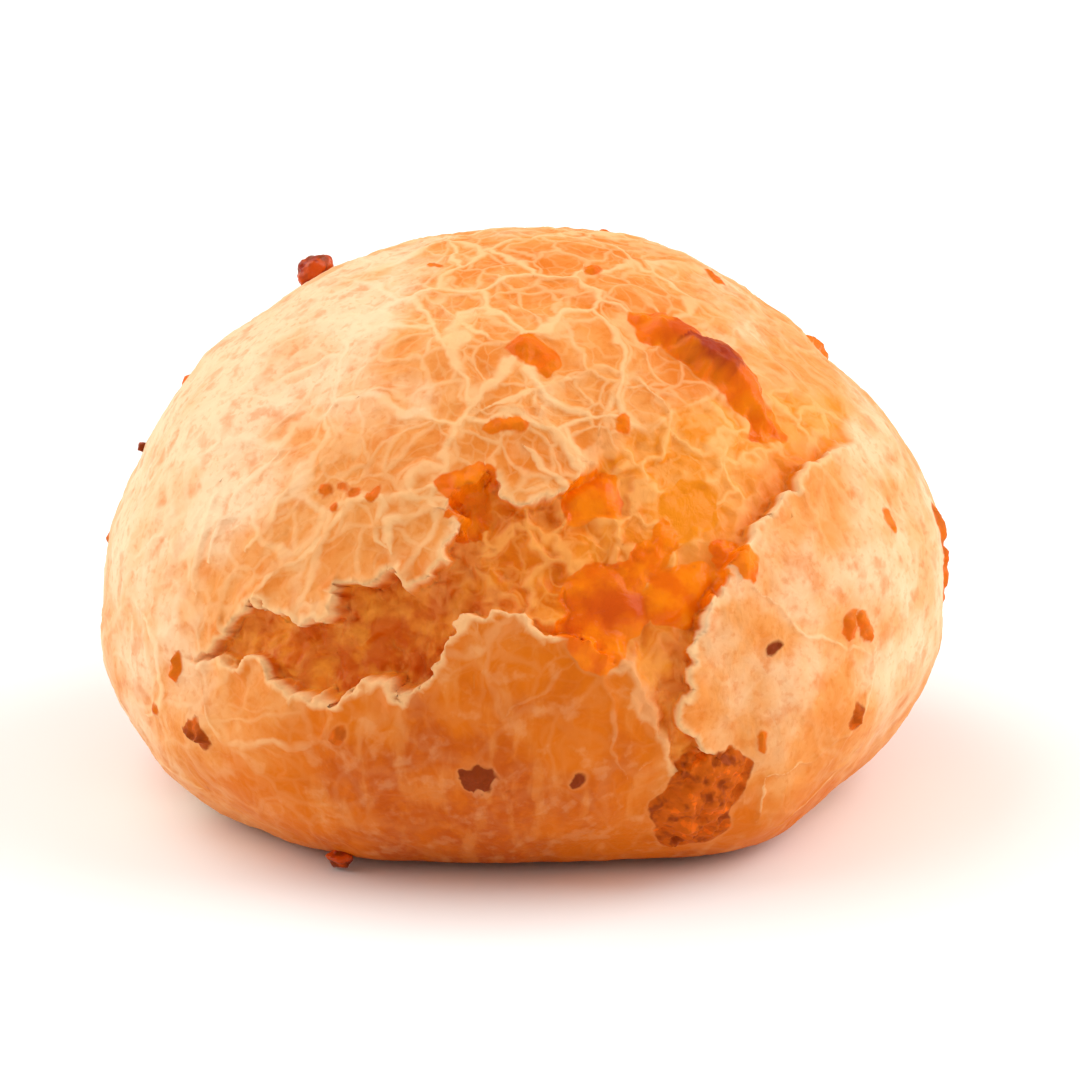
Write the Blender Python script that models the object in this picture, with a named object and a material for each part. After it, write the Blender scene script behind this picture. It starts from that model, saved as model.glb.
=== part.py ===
"""A pao de queijo: a small Brazilian cheese bread, baked as a ball on a flat tray.

The ball is one solid. It stands on the flat spot that it baked on, and its crust is torn open on the
front. Lengths are in metres, +Z is up, the side with the tear faces -Y, and the origin is in the middle
of the base.

A place on the crust is a bearing and a rise, both in degrees, seen from the ball's centre, which is on
its axis at the height of its waist. The bearing is 0 at the front (-Y) and 90 at +X, and the rise is 0 at
the waist.
"""

import math
from collections import namedtuple

import bmesh
import bpy
from mathutils import Vector, noise

MM = 0.001

# Driving dimensions of the ball
WIDTH = 56 * MM  # along X
DEPTH = 54 * MM  # along Y
HEIGHT = 36.5 * MM  # along Z
WAIST_HEIGHT = 10.5 * MM  # where the ball is widest
LOWER_REACH = 16 * MM  # how far the lower half would reach below the waist if the base didn't cut it off
BASE_ROUND = 3 * MM  # how gently the side turns in to the base
TRAY_GAP = 0.001 * MM  # points this near to the tray lie on it
CRUST_RADIUS = 26 * MM  # typical distance from the centre to the crust, which turns angles into lengths

# The grid of faces that the ball is made from
GRID_CUTS = 24  # cuts along each edge of the starting cube
FINE_MARGIN = 1.6 * MM  # faces in a tear, or this near to one, are made twice as fine, and so is the cheese
FINE_LEVEL = -0.5  # how far beyond a piece of cheese its fine faces reach, as a share of its half width

# Broad swellings (+) and flats (-), which make the ball uneven
Swell = namedtuple("Swell", "bearing rise spread height")
SWELLS = (
    Swell(bearing=86, rise=12, spread=22, height=0.5 * MM),
    Swell(bearing=75, rise=47, spread=17, height=-0.5 * MM),
    Swell(bearing=30, rise=62, spread=16, height=0.3 * MM),
    Swell(bearing=-88, rise=32, spread=15, height=-0.5 * MM),
    Swell(bearing=-80, rise=-8, spread=14, height=-0.3 * MM),
    Swell(bearing=0, rise=-22, spread=24, height=-0.7 * MM),
    Swell(bearing=-38, rise=-16, spread=16, height=0.4 * MM),
    Swell(bearing=36, rise=-18, spread=12, height=0.8 * MM),
    Swell(bearing=66, rise=-15, spread=14, height=-1.1 * MM),
    Swell(bearing=150, rise=20, spread=30, height=0.4 * MM),
    Swell(bearing=-140, rise=35, spread=26, height=-0.5 * MM),
)

# Tears in the crust. Each is a path of places on the crust, with half the tear's width at each
TearPoint = namedtuple("TearPoint", "bearing rise half_width")
Tear = namedtuple("Tear", "depth path")
TEARS = (
    # the deep tear under the cap, on the front left
    Tear(
        depth=2.2 * MM,
        path=(
            TearPoint(-54, 6, 0.2 * MM),
            TearPoint(-46, 8.5, 1.0 * MM),
            TearPoint(-40, 12, 1.6 * MM),
            TearPoint(-32, 11.5, 2.1 * MM),
            TearPoint(-25, 14, 2.9 * MM),
            TearPoint(-16, 17, 3.2 * MM),
            TearPoint(-10, 22, 3.4 * MM),
        ),
    ),
    # the open middle, between the cap and the lower plate
    Tear(
        depth=1.1 * MM,
        path=(
            TearPoint(-10, 25, 3.2 * MM),
            TearPoint(-3, 27, 3.8 * MM),
            TearPoint(4, 26.5, 3.6 * MM),
            TearPoint(12, 27, 4.6 * MM),
            TearPoint(21, 25, 3.6 * MM),
        ),
    ),
    # the skin that stretched between the cap and the right plate
    Tear(
        depth=0.7 * MM,
        path=(
            TearPoint(21, 28, 3.4 * MM),
            TearPoint(32, 34, 3.2 * MM),
            TearPoint(44, 38, 3.0 * MM),
            TearPoint(58, 40, 2.4 * MM),
            TearPoint(72, 40, 0.8 * MM),
        ),
    ),
    # the split between the lower plate and the right plate
    Tear(
        depth=0.9 * MM,
        path=(
            TearPoint(20, 20, 1.6 * MM),
            TearPoint(19, 11, 1.7 * MM),
            TearPoint(20.5, 4, 1.2 * MM),
            TearPoint(24, -2, 0.3 * MM),
        ),
    ),
    # a shorter tear low on the back
    Tear(
        depth=1.4 * MM,
        path=(
            TearPoint(138, 20, 0.2 * MM),
            TearPoint(150, 15, 1.3 * MM),
            TearPoint(164, 16, 1.9 * MM),
            TearPoint(178, 20, 1.5 * MM),
            TearPoint(188, 27, 0.2 * MM),
        ),
    ),
    # a narrow split on the left of the back
    Tear(
        depth=0.8 * MM,
        path=(
            TearPoint(-132, 48, 0.2 * MM),
            TearPoint(-124, 38, 1.0 * MM),
            TearPoint(-122, 27, 1.1 * MM),
            TearPoint(-127, 16, 0.2 * MM),
        ),
    ),
)
LIP_HEIGHT = 0.35 * MM  # the crust's rim along a tear
LIP_WIDTH = 1.3 * MM
STEP_WIDTH = 1.8 * MM  # how far inside the edge a tear reaches its depth

# Pieces of cheese that stand out of the crust. Slant turns a piece's length anticlockwise from level
Lump = namedtuple("Lump", "bearing rise length width slant height")
LUMPS = (
    Lump(bearing=13, rise=19.5, length=6.4 * MM, width=5.6 * MM, slant=60, height=1.3 * MM),
    Lump(bearing=24.5, rise=21, length=5.4 * MM, width=3.2 * MM, slant=15, height=1.0 * MM),
    Lump(bearing=12.5, rise=35.5, length=4.4 * MM, width=3.2 * MM, slant=0, height=0.9 * MM),
    Lump(bearing=46, rise=51.5, length=9.6 * MM, width=2.5 * MM, slant=-64, height=0.9 * MM),
    Lump(bearing=5, rise=58.5, length=3.2 * MM, width=3.0 * MM, slant=0, height=0.4 * MM),
    Lump(bearing=-8.5, rise=35.5, length=3.6 * MM, width=2.4 * MM, slant=50, height=0.5 * MM),
    Lump(bearing=34, rise=23.5, length=3.2 * MM, width=2.2 * MM, slant=-45, height=0.5 * MM),
    Lump(bearing=26, rise=-8.5, length=6.4 * MM, width=5.4 * MM, slant=70, height=0.8 * MM),
    Lump(bearing=52.5, rise=10.5, length=3.0 * MM, width=2.4 * MM, slant=0, height=0.4 * MM),
    Lump(bearing=-114, rise=55, length=2.4 * MM, width=2.0 * MM, slant=0, height=1.2 * MM),
    Lump(bearing=-158, rise=44, length=4.6 * MM, width=2.6 * MM, slant=30, height=0.7 * MM),
    Lump(bearing=128, rise=2, length=3.8 * MM, width=3.2 * MM, slant=0, height=0.6 * MM),
    Lump(bearing=112, rise=38, length=3.4 * MM, width=2.4 * MM, slant=-35, height=0.6 * MM),
)
LUMP_SLOPE = 0.5  # how far inside its outline a piece reaches its height, as a share of its half width

# Unevenness all over the crust: how many bumps fit in one radius, and how high they are
Roughness = namedtuple("Roughness", "frequency height offset")
CRUST_ROUGHNESS = (
    Roughness(frequency=1.9, height=0.7 * MM, offset=Vector((3.1, 0.4, 7.7))),
    Roughness(frequency=5.5, height=0.35 * MM, offset=Vector((9.2, 5.1, 1.3))),
)
CRUMB_ROUGHNESS = Roughness(frequency=7, height=0.8 * MM, offset=Vector((4.4, 8.8, 2.6)))

# Base colour, roughness and metallic value of each material
FINISHES = {
    "baked_crust": ((0.87, 0.47, 0.20, 1), 0.5, 0),
    "moist_crumb": ((0.64, 0.23, 0.05, 1), 0.35, 0),
    "melted_cheese": ((0.66, 0.16, 0.03, 1), 0.3, 0),
}


def clear_scene():
    for obj in list(bpy.data.objects):
        bpy.data.objects.remove(obj, do_unlink=True)


def direction(bearing, rise):
    """The unit vector from the ball's centre to a place on the crust."""
    turn = math.radians(bearing)
    climb = math.radians(rise)
    level = math.cos(climb)
    return Vector((level * math.sin(turn), -level * math.cos(turn), math.sin(climb)))


def eased(part):
    """Rises smoothly from 0 to 1 as part does."""
    part = min(max(part, 0), 1)
    return part * part * (3 - 2 * part)


def smaller_of(first, second, blend):
    """The smaller of two lengths, rounded over where they are within blend of each other."""
    share = min(max(0.5 + 0.5 * (second - first) / blend, 0), 1)
    return second + (first - second) * share - blend * share * (1 - share)


def dome_radius(out):
    """How far the plain ball reaches along a direction: two half ellipsoids that meet at the waist."""
    reach = HEIGHT - WAIST_HEIGHT if out.z > 0 else LOWER_REACH
    return 1 / math.hypot(out.x / (WIDTH / 2), out.y / (DEPTH / 2), out.z / reach)


def swell_height(out):
    total = 0
    for swell in SWELLS:
        away = math.degrees(out.angle(direction(swell.bearing, swell.rise)))
        total += swell.height * math.exp(-((away / swell.spread) ** 2))
    return total


def beyond_edge(out, tear):
    """The distance along the crust from a tear's edge, negative inside the tear."""
    nearest = math.inf
    for start, end in zip(tear.path, tear.path[1:]):
        foot = direction(start.bearing, start.rise)
        run = direction(end.bearing, end.rise) - foot
        along = min(max((out - foot).dot(run) / run.dot(run), 0), 1)
        half_width = start.half_width + (end.half_width - start.half_width) * along
        nearest = min(nearest, (out - foot - run * along).length * CRUST_RADIUS - half_width)
    return nearest


def tear_depth(out, tear):
    """How far a tear goes down from the top of its rim."""
    return (tear.depth + LIP_HEIGHT) * eased(-beyond_edge(out, tear) / STEP_WIDTH)


def tear_height(out):
    """The crust's rim outside the tears and the trough inside them."""
    beyond = min(beyond_edge(out, tear) for tear in TEARS)
    rim = LIP_HEIGHT * math.exp(-((max(beyond, 0) / LIP_WIDTH) ** 2))
    trough = max(tear_depth(out, tear) for tear in TEARS)
    crumb = rough_height(out, CRUMB_ROUGHNESS) * eased(-beyond / STEP_WIDTH)
    return rim - trough + crumb


def lump_level(out, lump):
    """1 at a piece of cheese's middle, 0 at its outline and negative beyond it."""
    middle = direction(lump.bearing, lump.rise)
    if out.dot(middle) <= 0:
        return -1
    across = Vector((0, 0, 1)).cross(middle).normalized()
    up = middle.cross(across)
    slant = math.radians(lump.slant)
    level = out.dot(across) * CRUST_RADIUS
    climb = out.dot(up) * CRUST_RADIUS
    along = level * math.cos(slant) + climb * math.sin(slant)
    aside = climb * math.cos(slant) - level * math.sin(slant)
    return 1 - math.hypot(along / (lump.length / 2), aside / (lump.width / 2))


def lump_height(out):
    return max(lump.height * eased(lump_level(out, lump) / LUMP_SLOPE) for lump in LUMPS)


def rough_height(out, roughness):
    return roughness.height * noise.noise(out * roughness.frequency + roughness.offset)


def surface_point(out):
    """The point of the finished surface along a direction from the centre."""
    relief = swell_height(out) + tear_height(out) + lump_height(out)
    relief += sum(rough_height(out, roughness) for roughness in CRUST_ROUGHNESS)
    radius = dome_radius(out) + relief
    if out.z < 0:
        to_tray = WAIST_HEIGHT / -out.z
        radius = smaller_of(radius, to_tray, BASE_ROUND)
    return Vector((0, 0, WAIST_HEIGHT)) + out * radius


def needs_fine_faces(out):
    near_tear = any(beyond_edge(out, tear) < FINE_MARGIN for tear in TEARS)
    return near_tear or any(lump_level(out, lump) > FINE_LEVEL for lump in LUMPS)


def unit_ball():
    """A ball of radius 1 from a cube cut into a grid, finer round the tears and lumps."""
    ball = bmesh.new()
    bmesh.ops.create_cube(ball, size=2)
    bmesh.ops.subdivide_edges(ball, edges=ball.edges[:], cuts=GRID_CUTS, use_grid_fill=True)
    for vert in ball.verts:
        even = [math.tan(part * math.pi / 4) for part in vert.co]
        vert.co = Vector(even).normalized()
    fine = {vert for vert in ball.verts if needs_fine_faces(vert.co)}
    edges = [edge for edge in ball.edges if fine.issuperset(edge.verts)]
    bmesh.ops.subdivide_edges(ball, edges=edges, cuts=1, use_grid_fill=True)
    for vert in ball.verts:
        vert.co.normalize()
    bmesh.ops.triangulate(ball, faces=ball.faces[:])
    return ball


def finish_of(out):
    """The name of what shows at a place on the crust."""
    if max(lump_level(out, lump) for lump in LUMPS) > 0:
        return "melted_cheese"
    return "moist_crumb" if min(beyond_edge(out, tear) for tear in TEARS) < 0 else "baked_crust"


def fit_to_size(shape):
    """Stretches the shape a little, so that its box is WIDTH x DEPTH x HEIGHT and stands on the origin."""
    for axis, (start, size) in enumerate(((-WIDTH / 2, WIDTH), (-DEPTH / 2, DEPTH), (0, HEIGHT))):
        low = min(vert.co[axis] for vert in shape.verts)
        high = max(vert.co[axis] for vert in shape.verts)
        for vert in shape.verts:
            vert.co[axis] = start + (vert.co[axis] - low) / (high - low) * size


def flatten_base(shape):
    """Makes the faces that lie on the tray into one flat face."""
    for vert in shape.verts:
        if vert.co.z < TRAY_GAP:
            vert.co.z = 0
    flat = [face for face in shape.faces if all(vert.co.z == 0 for vert in face.verts)]
    bmesh.ops.dissolve_faces(shape, faces=flat, use_verts=True)


def make_material(name, colour, roughness, metallic):
    material = bpy.data.materials.new(name)
    material.use_nodes = True
    shader = material.node_tree.nodes["Principled BSDF"]
    shader.inputs["Base Color"].default_value = colour
    shader.inputs["Roughness"].default_value = roughness
    shader.inputs["Metallic"].default_value = metallic
    return material


def make_bun(collection):
    shape = unit_ball()
    finishes = list(FINISHES)
    for face in shape.faces:
        face.material_index = finishes.index(finish_of(face.calc_center_median().normalized()))
    for vert in shape.verts:
        vert.co = surface_point(vert.co)
    fit_to_size(shape)
    flatten_base(shape)
    bmesh.ops.recalc_face_normals(shape, faces=shape.faces[:])
    mesh = bpy.data.meshes.new("bun")
    shape.to_mesh(mesh)
    shape.free()
    for name, (colour, roughness, metallic) in FINISHES.items():
        mesh.materials.append(make_material(name, colour, roughness, metallic))
    mesh.shade_smooth()
    bun = bpy.data.objects.new("bun", mesh)
    collection.objects.link(bun)


def main():
    clear_scene()
    collection = bpy.data.collections.new("pao_de_queijo")
    bpy.context.scene.collection.children.link(collection)
    make_bun(collection)


main()
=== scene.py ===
"""The looks of a pao de queijo: a small cheese bread whose crust tore open on the front.

Shapes are worked out in millimetres and put into Blender in metres. A place on the crust is a bearing
and a rise, both in degrees, seen from the ball's centre, which is on its axis at the height of its waist.
The bearing is 0 at the front (-Y) and 90 at +X, and the rise is 0 at the waist.

Most places in LINES, half of those in BAKES_AND_SHADE and many in FRONT_TEAR and CHEESE were picked by
eye on a photo, and a helper program turned them into degrees.
"""

import math
from collections import namedtuple

import bmesh
import bpy
import numpy as np
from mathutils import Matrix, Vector, noise


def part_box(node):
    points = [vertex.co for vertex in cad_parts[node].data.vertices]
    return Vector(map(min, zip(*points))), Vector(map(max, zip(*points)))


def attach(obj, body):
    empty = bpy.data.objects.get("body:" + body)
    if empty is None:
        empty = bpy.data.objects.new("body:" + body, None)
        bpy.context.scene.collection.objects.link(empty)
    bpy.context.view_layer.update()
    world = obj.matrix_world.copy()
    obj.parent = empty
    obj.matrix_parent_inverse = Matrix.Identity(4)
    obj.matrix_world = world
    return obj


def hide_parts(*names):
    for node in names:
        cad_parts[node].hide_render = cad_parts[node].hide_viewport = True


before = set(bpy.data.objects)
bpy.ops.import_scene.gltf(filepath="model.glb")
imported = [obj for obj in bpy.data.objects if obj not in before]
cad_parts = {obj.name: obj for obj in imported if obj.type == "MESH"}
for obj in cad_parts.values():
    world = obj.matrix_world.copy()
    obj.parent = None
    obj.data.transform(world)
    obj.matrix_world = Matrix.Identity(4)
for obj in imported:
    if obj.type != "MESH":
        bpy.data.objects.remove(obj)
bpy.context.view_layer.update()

MM = 0.001
TINY = 1e-6  # keeps a division from dividing by nothing
FAINTEST = 1e-9  # the least weight that a place has in a blend
LOW, HIGH = (np.array(corner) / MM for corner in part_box("bun"))
WIDTH, DEPTH, HEIGHT = HIGH - LOW

# The ball without its details, in millimetres
WAIST_HEIGHT = 10.5  # where the ball is widest
LOWER_REACH = 16.0  # how far the lower half would reach below the waist if the base didn't cut it off
BASE_ROUND = 3.0  # how gently the side turns in to the base
CRUST_RADIUS = 26.0  # typical distance from the centre to the crust, which turns angles into lengths

# The grid that the surface is made from
GRID_LEVELS = 8  # times that each face of the starting cube is cut in four
FRONT_PULL = 0.22  # how strongly the grid's points gather at the front, where the tear is
PULL_PLACE = (4, 22)
MOST_TRIANGLES = 196000

# Broad swellings (+) and flats (-), which make the ball uneven
Swell = namedtuple("Swell", "bearing rise spread height")
SWELLS = (
    Swell(86, 12, 22, 0.5),
    Swell(75, 47, 17, -0.5),
    Swell(30, 62, 16, 0.3),
    Swell(-88, 32, 15, -0.5),
    Swell(-80, -8, 14, -0.3),
    Swell(0, -22, 24, -0.7),
    Swell(-38, -16, 16, 0.4),
    Swell(36, -18, 12, 0.8),
    Swell(66, -15, 14, -1.1),
    Swell(150, 20, 30, 0.4),
    Swell(-140, 35, 26, -0.5),
)

# The unevenness that the solid has too: frequency is how many bumps fit in one radius
Rough = namedtuple("Rough", "frequency height offset")
ROUGHS = (
    Rough(frequency=1.9, height=0.7, offset=(3.1, 0.4, 7.7)),
    Rough(frequency=5.5, height=0.35, offset=(9.2, 5.1, 1.3)),
)

# Unevenness made by noise: how large its blotches are, and how far it reaches either way
Ragged = namedtuple("Ragged", "size reach")

# The outline of a tear goes round it clockwise. Crisp is 1 where the crust broke with a lip, and 0 where
# it only stretched
Edge = namedtuple("Edge", "bearing rise crisp")
FRONT_TEAR = (
    # the cap's lip over the deep part of the tear, with its teeth
    Edge(-53.5, 6.2, 0.1),
    Edge(-48, 8, 0.7),
    Edge(-44.8, 11.7, 1),
    Edge(-41.2, 16.2, 1),
    Edge(-38.4, 15.8, 1),
    Edge(-32.5, 16, 1),
    Edge(-28.7, 16.6, 1),
    Edge(-27.8, 19.4, 1),
    Edge(-26.3, 21, 1),
    Edge(-22.4, 22.4, 1),
    Edge(-19.2, 24.6, 1),
    Edge(-17.8, 24.2, 1),
    Edge(-16.4, 21.5, 1),
    Edge(-13.8, 24, 1),
    Edge(-11.2, 26.8, 1),
    Edge(-9.8, 29.5, 1),
    Edge(-9.8, 31.8, 0.9),
    Edge(-12.2, 33.4, 0.9),
    Edge(-11, 36, 0.8),
    # the cap's lip over the open middle
    Edge(-5.8, 38.6, 0.8),
    Edge(-3.8, 36.3, 0.9),
    Edge(2.6, 34.8, 0.9),
    Edge(7.5, 37.8, 0.9),
    Edge(10.8, 40.2, 0.7),
    # where the cap only stretched
    Edge(15, 44, 0.3),
    Edge(23, 46.5, 0),
    Edge(34, 50, 0),
    Edge(48, 48, 0),
    Edge(63, 47, 0),
    Edge(78, 42, 0),
    Edge(82, 35, 0.1),
    # the right plate's lip
    Edge(70.6, 32.6, 0.3),
    Edge(58.8, 32.5, 0.9),
    Edge(50.1, 32.8, 1),
    Edge(46.6, 31, 1),
    Edge(43.4, 29.8, 1),
    Edge(40.5, 27.6, 1),
    Edge(34.2, 25.6, 1),
    Edge(29.2, 20.2, 0.9),
    Edge(26.6, 17, 1),
    Edge(24.8, 14.3, 1),
    Edge(23, 11.9, 1),
    Edge(23.3, 8, 1),
    Edge(22.3, 3.1, 1),
    Edge(24.6, -0.6, 1),
    Edge(27.5, -2, 0.8),
    # the lower plate's soft side along the split
    Edge(21, -3.4, 0.7),
    Edge(18, 2.9, 0.55),
    Edge(16.4, 8.5, 0.5),
    Edge(14.8, 12.6, 0.55),
    Edge(11, 13.6, 0.8),
    # the lower plate's lip
    Edge(7.6, 15.6, 1),
    Edge(5, 17.4, 1),
    Edge(0.8, 18.6, 1),
    Edge(-3.4, 18.5, 1),
    Edge(-7.4, 18.1, 1),
    Edge(-8.8, 15.6, 1),
    Edge(-11.4, 11.9, 1),
    Edge(-14, 9, 1),
    Edge(-16.1, 8.2, 1),
    Edge(-20.3, 8.9, 1),
    Edge(-23.2, 8.1, 1),
    Edge(-25.2, 5.8, 1),
    Edge(-31.3, 5.9, 1),
    Edge(-35.3, 7.3, 1),
    Edge(-37.7, 9.3, 1),
    Edge(-41.4, 8, 1),
    Edge(-46, 7, 0.8),
    Edge(-50.7, 4.8, 0.4),
)

# What is inside the front tear: how deep it is, how much of it is bubbles, and how much is stretched skin
Inside = namedtuple("Inside", "bearing rise depth bubbles skin")
FRONT_INSIDE = (
    Inside(-50, 6, 0.5, 0.3, 0),
    Inside(-43, 10, 0.9, 0.2, 0),
    Inside(-36, 12, 1.3, 0.1, 0),
    Inside(-28, 12, 2.3, 0, 0),
    Inside(-20, 15, 2.9, 0, 0),
    Inside(-13, 17, 2.7, 0.1, 0),
    Inside(-8, 23, 1.9, 0.6, 0),
    Inside(-6, 31, 1.2, 0.9, 0),
    Inside(0, 26, 1.2, 1, 0),
    Inside(7, 29, 1.1, 1, 0),
    Inside(13, 30, 1.0, 1, 0.2),
    Inside(16, 20, 1.1, 0.6, 0.2),
    Inside(22, 32, 0.9, 0.5, 0.8),
    Inside(30, 26, 1.1, 0.3, 0.7),
    Inside(37, 33, 1.2, 0.2, 1),
    Inside(46, 36, 1.0, 0.1, 1),
    Inside(58, 39, 0.7, 0, 1),
    Inside(72, 40, 0.3, 0, 1),
    Inside(26, 40, 0.7, 0.4, 1),
    Inside(40, 44, 0.5, 0.1, 1),
    Inside(20, 10, 0.8, 0.2, 0.3),
    Inside(21.5, 3, 0.7, 0.2, 0.2),
)

# The tears that don't show from the front follow a path, with half the tear's width at each place
Split = namedtuple("Split", "depth path")
PathPoint = namedtuple("PathPoint", "bearing rise half_width")
SPLITS = (
    Split(
        depth=1.9,
        path=(
            PathPoint(138, 20, 0.2),
            PathPoint(144, 17, 0.9),
            PathPoint(150, 15, 1.3),
            PathPoint(157, 15.5, 1.8),
            PathPoint(164, 16, 1.9),
            PathPoint(171, 18.5, 1.6),
            PathPoint(178, 20, 1.5),
            PathPoint(188, 27, 0.2),
        ),
    ),
    Split(
        depth=1.1,
        path=(
            PathPoint(-132, 48, 0.2),
            PathPoint(-127, 43, 0.7),
            PathPoint(-124, 38, 1.0),
            PathPoint(-122.5, 32, 1.2),
            PathPoint(-122, 27, 1.1),
            PathPoint(-127, 16, 0.2),
        ),
    ),
)
FRONT_MIDDLE = (8, 22)
FRONT_REACH = 88  # degrees from its middle that anything of the front tear reaches
SPLIT_REACH = 45
SPLIT_BUBBLES = 0.3
LIP_HEIGHT = 0.24  # the crust's rim along a tear
LIP_WIDTH = 0.55
LIP_BUMPS = Ragged(1.4, 1.6)
LIP_OVERHANG = 0.32  # how far the rim leans over the tear
LEAN = 1.2  # how much more than the overhang the rim's very edge moves, which the crust's slope takes back
LEAN_WIDTH = 0.34
CORNER_BLEND = 0.5  # how much the lean is smoothed at a corner of the outline
CRISP_WALL = 0.45  # how far inside the edge a broken crust reaches the tear's depth
SOFT_WALL = 3.0  # the same where the crust only stretched

# How far the edges of the tears wander from their outlines
RAGGED_TEAR = (Ragged(2.2, 1.5), Ragged(0.9, 0.6))
RAGGED_SPLIT = (Ragged(2.6, 2.0), Ragged(0.9, 0.5))
INSIDE_BLEND = 3.2  # over what distance one Inside changes into the next

# Cheese on the crust. Slant turns a piece's length anticlockwise from level. Burn is -1 where the cheese
# stayed yellow, 0 where it is orange, 1 where it is brown and 2 where it is charred
Cheese = namedtuple("Cheese", "bearing rise length width slant height burn")
CHEESE = (
    # the large melted piece under the open middle, and its lobes
    Cheese(12.8, 20.2, 6.2, 5.0, 20, 0.5, 0.1),
    Cheese(10.4, 16.2, 5.4, 4.2, -40, 0.6, 0),
    Cheese(9.4, 21.2, 3.8, 3.2, 60, 0.4, 0.1),
    Cheese(24.6, 20.2, 5.2, 3.4, 12, 0.5, 0),
    Cheese(19.4, 25.4, 6.4, 2.2, 42, 0.35, 0.1),
    # the bright piece in the open middle, and the one on the right plate's corner
    Cheese(12.6, 35.6, 4.4, 3.4, -12, 0.45, 0),
    Cheese(33.2, 23.8, 3.2, 1.7, -48, 0.5, 0),
    # a smooth piece that stayed yellow
    Cheese(28.6, 31.8, 4.6, 3.4, 15, 0.15, -1),
    # the long shred
    Cheese(45.6, 58.4, 6.0, 4.6, -46, 1.2, 0.1),
    Cheese(49.6, 53.6, 7.4, 4.2, -68, 1.3, 0.35),
    Cheese(51.4, 46.2, 7.2, 3.6, -88, 1.1, 0.1),
    # pieces on the cap
    Cheese(4.8, 58.4, 3.4, 2.8, -35, 0.35, 0.3),
    Cheese(-2.6, 45.6, 2.5, 1.1, 8, 0.2, 0.35),
    Cheese(-8.4, 36.2, 3.6, 2.8, 42, 0.3, 0.25),
    Cheese(-7.6, 32.2, 2.8, 1.9, 80, 0.25, 0.25),
    Cheese(20.6, 45.6, 1.4, 1.0, 80, 0.2, 0.3),
    Cheese(48, 75.8, 1.9, 0.9, 10, 0.2, 0.45),
    Cheese(-68, 76.7, 1.4, 0.8, 20, 0.15, 0.4),
    # a row of freckles on the cap
    Cheese(-33, 33.5, 1.1, 0.8, 30, 0.06, 0.7),
    Cheese(-30.4, 34.6, 0.8, 0.6, 0, 0.05, 0.7),
    Cheese(-27.6, 34.2, 0.9, 0.7, 0, 0.05, 0.7),
    Cheese(-24.2, 34.4, 1.1, 0.9, 70, 0.06, 0.5),
    Cheese(-30.6, 31.6, 0.8, 0.6, 80, 0.05, 0.5),
    # the blistered brown piece low on the front, and the small dark round one
    Cheese(26, -9.8, 8.0, 5.6, 78, 0.7, 1),
    Cheese(-5.4, -3.8, 2.3, 2.2, 60, 0.3, 2),
    # small pieces low on the right
    Cheese(51.4, 10.8, 2.0, 1.3, 75, 0.35, 0.45),
    Cheese(54.6, 10.2, 2.2, 1.0, -70, 0.35, 0.45),
    Cheese(51.5, -1.8, 2.0, 1.1, 70, 0.2, 1.3),
    Cheese(34.3, -1.2, 1.5, 0.7, 85, 0.15, 0.4),
    Cheese(66.5, 21.3, 1.7, 1.0, 75, 0.2, 0.3),
    Cheese(86.5, 14.5, 3.0, 1.6, 80, 0.4, 0.6),
    Cheese(85.5, 8.0, 4.0, 1.2, 85, 0.35, 0.6),
    Cheese(37, 11.2, 1.3, 0.6, 25, 0.05, 2),
    Cheese(8, -4.2, 1.2, 0.8, 60, 0.06, 2),
    # small pieces low on the left
    Cheese(-47.8, -2.9, 2.2, 1.4, -35, 0.2, 1.4),
    Cheese(-53.2, 5.0, 2.0, 1.1, 80, 0.4, 0.5),
    Cheese(-57.8, -2.6, 0.9, 0.7, 0, 0.1, 0.5),
    Cheese(-24.4, 1.5, 1.5, 0.9, 70, 0.1, 0.7),
    # the sides and the back
    Cheese(-158, 44, 4.6, 2.4, 30, 0.7, 0.2),
    Cheese(128, 2, 3.8, 3.0, 10, 0.6, 0.1),
    Cheese(131, 5, 2.4, 1.8, 70, 0.5, 0.3),
    Cheese(112, 38, 3.4, 2.0, -35, 0.6, 0.3),
    Cheese(-96, 10, 2.2, 1.3, 50, 0.3, 0.5),
    Cheese(-108, 32, 2.4, 1.2, 15, 0.3, 0.3),
    Cheese(-150, 8, 3.0, 2.2, -20, 0.4, 0.9),
    Cheese(-176, -6, 2.6, 1.6, 15, 0.3, 0.7),
    Cheese(168, 38, 2.8, 1.5, -60, 0.4, 0.1),
    Cheese(152, 62, 2.2, 1.5, 20, 0.3, 0.4),
    Cheese(102, 60, 1.8, 1.1, 60, 0.2, 0.4),
    Cheese(108, -6, 2.0, 1.4, 25, 0.2, 0.9),
)
CHEESE_SLOPE = 0.9  # how far inside its outline a piece reaches its height, as a share of half its width
CHEESE_BENDS = (Ragged(2.4, 1.5),)
SMALL_BENDS = (Ragged(1.0, 1.1),)
SMALL_CHEESE = 2.3  # pieces narrower than this bend more
CHEESE_RAGGED = Ragged(1.0, 0.25)
BLISTERS = Ragged(1.2, 1.2)  # on burnt cheese
CORE_EDGE = 1.3  # where a core's edge is, as a share of its radius, before it fades
CORE_RAGGED = 3  # how many times as ragged as a piece's outline a core is
CHEESE_MARGIN = 2  # how far past its ends a piece is worked out
CHEESE_COVER = 0.5  # how far inside its outline a piece hides the unevenness under it

# A dark middle of a melted piece
Core = namedtuple("Core", "bearing rise radius")
CORES = (
    Core(13.2, 20.4, 1.9),
    Core(17.4, 19.6, 0.9),
    Core(45.4, 57.4, 1.4),
    Core(48.2, 54.6, 1.6),
    Core(50.6, 51.4, 1.3),
    Core(128.5, 3.0, 1.0),
    Core(-158, 44, 0.8),
)

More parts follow.
